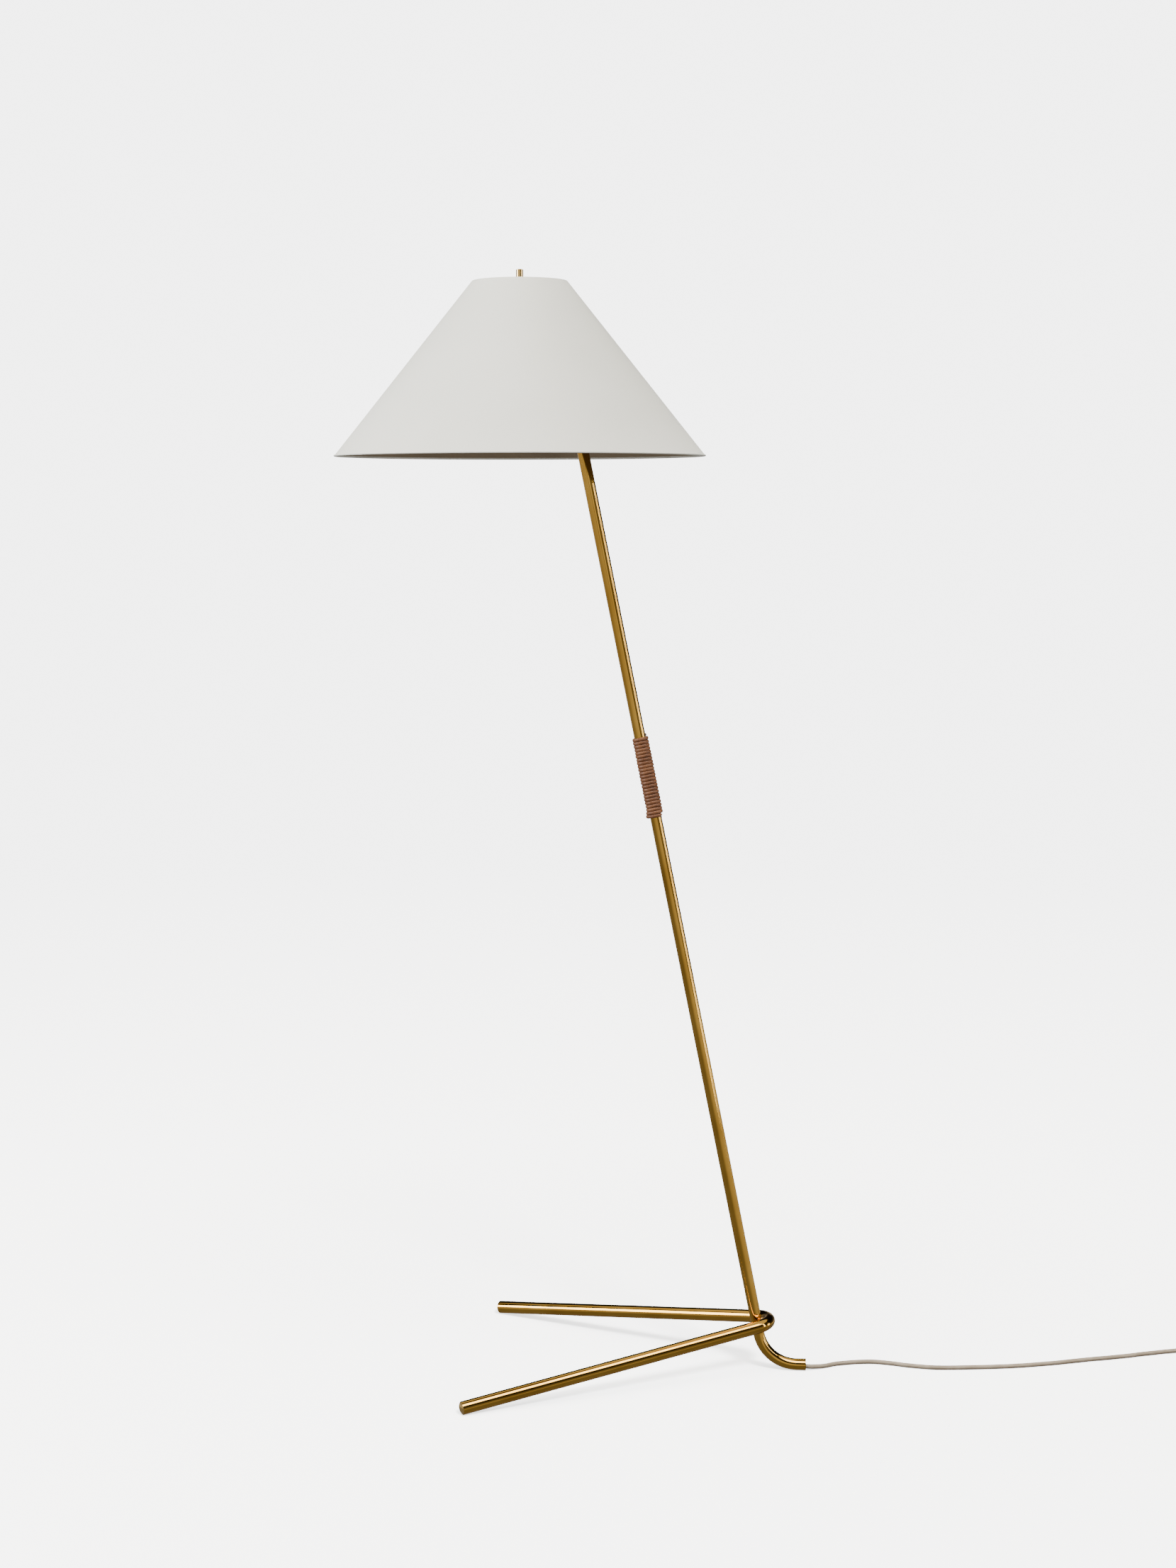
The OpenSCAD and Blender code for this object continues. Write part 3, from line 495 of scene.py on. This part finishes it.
# ---------------------------------------------------------------- shade
SHADE_T = 1.0 * MM
shade_low, shade_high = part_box("shade")
shade_axis = Vector((middle("shade").x, 0, 0))
SHADE_R = (shade_high.x - shade_low.x) / 2
SHADE_TOP_R = 62.5 * MM
SHADE_ROLL = 1.1 * MM        # radius of the rolled edge
ROLL_H = 3 * MM              # the inside stays white up to this height; above it, it gets the dark painted shade
slope = Vector((SHADE_TOP_R - SHADE_R, shade_high.z - shade_low.z)).normalized()
inward = Vector((-slope.y, slope.x)) * SHADE_T


def shade_profile():
    """The sheet's section: a rolled edge at the bottom, a rounded one at the top."""
    low_out, high_out = Vector((SHADE_R, shade_low.z)), Vector((SHADE_TOP_R, shade_high.z))
    low_in, high_in = low_out + inward, high_out + inward
    centre = low_out + Vector((-SHADE_ROLL, SHADE_ROLL))
    bead = [centre + SHADE_ROLL * Vector((math.cos(a), math.sin(a)))
            for a in [math.radians(d) for d in range(30, -181, -15)]]
    return ([tuple(high_out + slope * -0.6 * MM), tuple(high_out + Vector((-0.3 * MM, 0))),
             tuple(high_in + Vector((0.3 * MM, 0)) - Vector((0, 0.02 * MM))),
             tuple(high_in + slope * -0.6 * MM)],
            [tuple(p) for p in bead], low_out, low_in)


top_edge, bead, low_out, low_in = shade_profile()
outer = [tuple(Vector(low_out) + slope * d) for d in (0.004, 0.06, 0.12, 0.18, 0.24)]
inner = [tuple(Vector(low_in) + slope * d) for d in (0.24, 0.18, 0.12, 0.06, 0.004)]
profile = outer + top_edge + inner + bead[::-1]
shade_mesh = revolved("shade_sheet", profile, Vector((shade_axis.x, 0, 0)), steps=192)
shade = new_piece("shade_sheet", shade_mesh, "white_shade", "head")
shade_mesh.materials.append(PAINTED_SHADE_INSIDE)
# Inside faces above the rolled edge take the dark painted shade that stands for the shadow inside the cone.
for face in shade_mesh.polygons:
    away = face.center - Vector((shade_axis.x, 0, face.center.z))
    if face.normal.dot(away) < 0 and face.center.z > shade_low.z + ROLL_H:
        face.material_index = 1
# The CAD shade is level. The photographed one shows less of its inside, as if it tipped towards the camera,
# so its front is lowered and its back raised. A shear keeps it inside the CAD's box; a turn would not.
SHADE_TIP = 0.0155       # radians, chosen to match the photograph's rim
shade_mesh.transform(Matrix(((1, 0, 0, 0), (0, 1, 0, 0), (0, SHADE_TIP, 1, 0), (0, 0, 0, 1))))
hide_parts("shade", "rim_ring")

# ---------------------------------------------------------------- leather lace
LACE_TURNS = 24
LACE_PITCH = 4.7 * MM
STEM_R = 7.75 * MM
LACE_T = 3.3 * MM
LACE_STEPS = 48              # rings of points in one turn
LACE_SIDES = 14              # points in one ring
WANDER_EVERY = 12            # rings between two random offsets
CROSS_FROM, CROSS_OVER = 0.62, 0.3   # where in a turn the lace steps to the next lane
WANDER_ALONG = 0.22 * MM
LUMP_H = 1.9 * MM
grip_mid = middle("grip_lace")
stem_up = (middle("fork_pin") - grip_mid).normalized()
stem_side = stem_up.cross(Y).normalized() * -1
stem_front = Vector((0, -1, 0))


def lace_mesh():
    """One lace wound round the stem, each turn stepping over to the next lane."""
    rng = random.Random(7)
    steps, around = LACE_STEPS, LACE_SIDES
    total = LACE_TURNS * steps
    wander = [rng.uniform(-1, 1) for _ in range(total // WANDER_EVERY + 3)]
    start = grip_mid - stem_up * (LACE_TURNS * LACE_PITCH / 2)
    first, last = LACE_PITCH / 2, (LACE_TURNS - 0.5) * LACE_PITCH
    sections, centres = [], []
    for i in range(total + 1):
        cell, t = divmod(i / WANDER_EVERY, 1)
        drift = wander[int(cell)] * (1 - t) + wander[int(cell) + 1] * t
        turn = 2 * math.pi * i / steps
        out = stem_side * math.cos(turn) + stem_front * math.sin(turn)
        lap_no, part = divmod(i / steps, 1)
        step_over = min(max((part - CROSS_FROM) / CROSS_OVER, 0), 1)
        along = (lap_no + step_over * step_over * (3 - 2 * step_over)) * LACE_PITCH
        along = first + along * (last - first) / (LACE_TURNS * LACE_PITCH) + drift * WANDER_ALONG
        # The lowest turns bulge a little on the camera's left.
        lump = math.exp(-((1 + math.cos(turn)) / 0.35) ** 2) * math.exp(-((i / steps - 0.7) / 1.1) ** 2)
        thick = LACE_T * (1 + 0.06 * drift) / 2
        taper = min(1, i / 10 + 0.35, (total - i) / 10 + 0.35)
        centre = start + stem_up * along + out * (STEM_R + thick * taper + lump * LUMP_H)
        half = LACE_PITCH * 0.505 * taper
        ring = []
        for k in range(around):
            a = 2 * math.pi * k / around
            c, s = math.cos(a), math.sin(a)
            c = math.copysign(abs(c) ** 0.95, c)
            s = math.copysign(abs(s) ** 0.95, s)
            ring.append(centre + out * c * thick * taper + stem_up * s * half)
        sections.append(ring)
        centres.append(centre)
    return swept("grip_lacing", centres, sections, sharp=60)


lace = new_piece("grip_lacing", lace_mesh(), "leather", "stand")
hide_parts("grip_lace")

# ---------------------------------------------------------------- bulb
bulb_axis = Vector((middle("bulb_cap").x, 0, 0))
glass_low, glass_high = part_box("bulb_glass")
cap_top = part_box("bulb_cap")[1].z
BALL_R = (glass_high.x - glass_low.x) / 2
ball_z = glass_high.z - BALL_R
NECK_R = 12.2 * MM
GLASS_T = 0.8 * MM


def glass_outline(inset):
    """The bulb's half section, from its top to its neck, drawn in by inset."""
    r = BALL_R - inset
    ball = [(r * math.cos(a), ball_z + r * math.sin(a))
            for a in [math.radians(d) for d in range(86, -37, -6)]]
    low_r, low_z = ball[-1]
    neck_z = cap_top + 1 * MM
    flare = []
    for k in range(1, 9):
        t = k / 9
        ease = t * t * (3 - 2 * t)
        flare.append((low_r + (NECK_R - inset - low_r) * (0.35 * t + 0.65 * ease),
                      low_z + (neck_z - low_z) * t))
    return ([(0, ball_z + r)] + ball + flare
            + [(NECK_R - inset, neck_z), (NECK_R - inset, glass_low.z + 1 * MM)])


outside = glass_outline(0)
inside = glass_outline(GLASS_T)
globe = new_piece("bulb_globe", revolved("bulb_globe", outside + inside[::-1], bulb_axis, steps=96, sharp=50,
                                         closed=False), "bulb_glass", "bulb")
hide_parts("bulb_glass")

# ---------------------------------------------------------------- stage and light
FLOOR_R = 8.0
WALL_R = 11.0
WALL_TOP = 14.0
FLOOR_GLOW = 1.75        # the floor's own light, on top of what the lights give it
WALL_GLOW = 5.1          # as bright as the lit floor
NEAR, FAR = 1.2, 5.0     # the floor fades into the wall's own glow between these distances


def stage_sheet(name, profile, material):
    """Part of the studio: a surface of revolution that the object neither mirrors nor is lit by."""
    mesh = revolved(name, profile, Vector((0, 0, 0)), steps=96, sharp=60, closed=False)
    mesh.materials.append(material)
    piece = bpy.data.objects.new(name, mesh)
    piece.visible_glossy = False
    piece.visible_diffuse = False
    piece.visible_transmission = True
    bpy.context.scene.collection.objects.link(piece)
    return piece


def paper_material():
    """Pale paper: lit by the lights near the object, evenly bright far away."""
    m = Nodes("backdrop", Roughness=0.9, Specular_IOR_Level=0.0)
    coordinates = m.add("TexCoord")
    length = m.add("VectorMath", operation="LENGTH")
    m.join(coordinates.outputs["Object"], length.inputs[0])
    fade = m.add("MapRange")
    fade.inputs["From Min"].default_value = NEAR
    fade.inputs["From Max"].default_value = FAR
    m.join(length.outputs["Value"], fade.inputs["Value"])
    near_far = fade.outputs["Result"]
    m.colour(m.ramp(near_far, [(0.0, (0.84, 0.84, 0.84)), (1.0, (0.0, 0.0, 0.0))]))
    m.join(m.span(near_far, FLOOR_GLOW, WALL_GLOW), m.shader.inputs["Emission Strength"])
    m.shader.inputs["Emission Color"].default_value = (1.0, 1.0, 1.0, 1)
    return m.material


PAPER = paper_material()
floor = stage_sheet("floor", [(0, 0), (0.6, 0), (1.2, 0), (2.4, 0), (5.0, 0), (FLOOR_R, 0)], PAPER)
curve = [(FLOOR_R + (WALL_R - FLOOR_R) * math.sin(a), (WALL_R - FLOOR_R) * (1 - math.cos(a)))
         for a in [math.radians(9 * k) for k in range(11)]]
stage_sheet("wall", curve + [(WALL_R, WALL_TOP)], PAPER)


def aim(light, place, towards):
    light.location = place
    light.rotation_euler = (Vector(towards) - Vector(place)).to_track_quat("-Z", "Y").to_euler()
    bpy.context.scene.collection.objects.link(light)


def area_light(name, place, towards, size, power, colour=(1, 1, 1)):
    data = bpy.data.lights.new(name, "AREA")
    data.shape = "RECTANGLE"
    data.size, data.size_y = size
    data.energy = power
    data.color = colour
    aim(bpy.data.objects.new(name, data), place, towards)


SUN_POWER = 11.0
SUN_WIDTH = 0.22         # radians; softens the shadow's edge
overhead = bpy.data.lights.new("overhead", "SUN")
overhead.energy = SUN_POWER
overhead.angle = SUN_WIDTH
overhead_lamp = bpy.data.objects.new("overhead", overhead)
aim(overhead_lamp, place=(0.48, -0.9, 1.15), towards=(0, 0, 0))
# It draws the legs' shadow: it reaches only the floor, and only these pieces block it. The photograph shows
# no shadow of the shade.
paper_only = bpy.data.collections.new("paper")
paper_only.objects.link(floor)
overhead_lamp.light_linking.receiver_collection = paper_only
shadow_casters = bpy.data.collections.new("shadow_casters")
for caster in ("leg_hairpin", "foot_plug_front", "foot_plug_rear", "braze_fillet", "stem_tube"):
    shadow_casters.objects.link(nodes[caster])
shadow_casters.objects.link(run_cord)
overhead_lamp.light_linking.blocker_collection = shadow_casters
area_light("left", place=(-3.5, -1.5, 2.1), towards=(0, 0, 1.2), size=(1.6, 2.4), power=205,
           colour=(0.97, 0.985, 1.0))
area_light("right", place=(3.6, -1.2, 1.7), towards=(0, 0, 0.9), size=(0.35, 3.0), power=40,
           colour=(1.0, 0.97, 0.93))


# How bright each direction is in what the metal mirrors. Round the horizon, 0 and 1 face -X, 0.25 faces the
# camera's side and 0.5 faces +X. Upwards, 0 is straight down, 0.5 the horizon and 1 straight up.
WALLS = [(0.0, 0.6), (0.08, 0.7), (0.12, 0.05), (0.15, 0.8), (0.22, 1.1), (0.235, 0.04), (0.25, 0.9),
         (0.31, 1.1), (0.325, 0.04), (0.35, 0.30), (0.42, 0.25), (0.44, 0.8), (0.49, 0.05), (0.505, 7.0),
         (0.525, 7.0), (0.535, 0.05), (0.70, 0.10), (0.72, 0.6), (0.80, 0.12), (1.0, 0.6)]
BOX_AROUND = [(0.0, 0.08), (0.04, 0.10), (0.08, 1.0), (0.42, 1.0), (0.46, 0.10), (1.0, 0.08)]
BOX_UP = [(0.0, 0.05), (0.86, 0.05), (0.89, 13.0), (0.985, 13.0), (0.995, 0.06), (1.0, 0.06)]
GROUND_UP = [(0.0, 0.26), (0.36, 0.30), (0.42, 0.70), (0.485, 0.85), (0.492, 0.06)]
ABOVE_WALLS = [(0.0, 0.0), (0.60, 0.0), (0.66, 1.0), (1.0, 1.0)]
BELOW_HORIZON = [(0.0, 1.0), (0.485, 1.0), (0.495, 0.0), (1.0, 0.0)]


def studio_world():
    """What the metal mirrors: a floor, walls of bright and dark strips, a dark ceiling and one soft box."""
    world = bpy.data.worlds.new("studio")
    bpy.context.scene.world = world
    world.use_nodes = True
    tree = world.node_tree

    def add(kind, **settings):
        node = tree.nodes.new("ShaderNode" + kind)
        for key, value in settings.items():
            setattr(node, key, value)
        return node

    def ramp(fac, stops):
        node = add("ValToRGB")
        elements = node.color_ramp.elements
        while len(elements) < len(stops):
            elements.new(0.5)
        for element, (at, level) in zip(elements, stops):
            element.position = at
            element.color = (level, level * 0.985, level * 0.955, 1)
        tree.links.new(fac, node.inputs["Fac"])
        return node.outputs["Color"]

    def blend(fac, low, high):
        node = add("MixRGB")
        tree.links.new(fac, node.inputs["Fac"])
        tree.links.new(low, node.inputs["Color1"])
        tree.links.new(high, node.inputs["Color2"])
        return node.outputs["Color"]

    coordinates, parts = add("TexCoord"), add("SeparateXYZ")
    tree.links.new(coordinates.outputs["Generated"], parts.inputs["Vector"])
    around, wrap = add("Math", operation="ARCTAN2"), add("MapRange")
    tree.links.new(parts.outputs["Y"], around.inputs[0])
    tree.links.new(parts.outputs["X"], around.inputs[1])
    wrap.inputs["From Min"].default_value = -math.pi
    wrap.inputs["From Max"].default_value = math.pi
    tree.links.new(around.outputs["Value"], wrap.inputs["Value"])
    height = add("MapRange")
    height.inputs["From Min"].default_value = -1.0
    tree.links.new(parts.outputs["Z"], height.inputs["Value"])

    walls = ramp(wrap.outputs["Result"], WALLS)
    side = ramp(wrap.outputs["Result"], BOX_AROUND)
    box = ramp(height.outputs["Result"], BOX_UP)
    above = ramp(height.outputs["Result"], ABOVE_WALLS)
    ceiling = add("MixRGB", blend_type="MULTIPLY")
    ceiling.inputs["Fac"].default_value = 1.0
    tree.links.new(side, ceiling.inputs["Color1"])
    tree.links.new(box, ceiling.inputs["Color2"])
    upper = blend(above, walls, ceiling.outputs["Color"])
    below = ramp(height.outputs["Result"], BELOW_HORIZON)
    ground = ramp(height.outputs["Result"], GROUND_UP)
    whole = blend(below, upper, ground)
    tree.links.new(whole, tree.nodes["Background"].inputs["Color"])
    tree.nodes["Background"].inputs["Strength"].default_value = 1.0


studio_world()
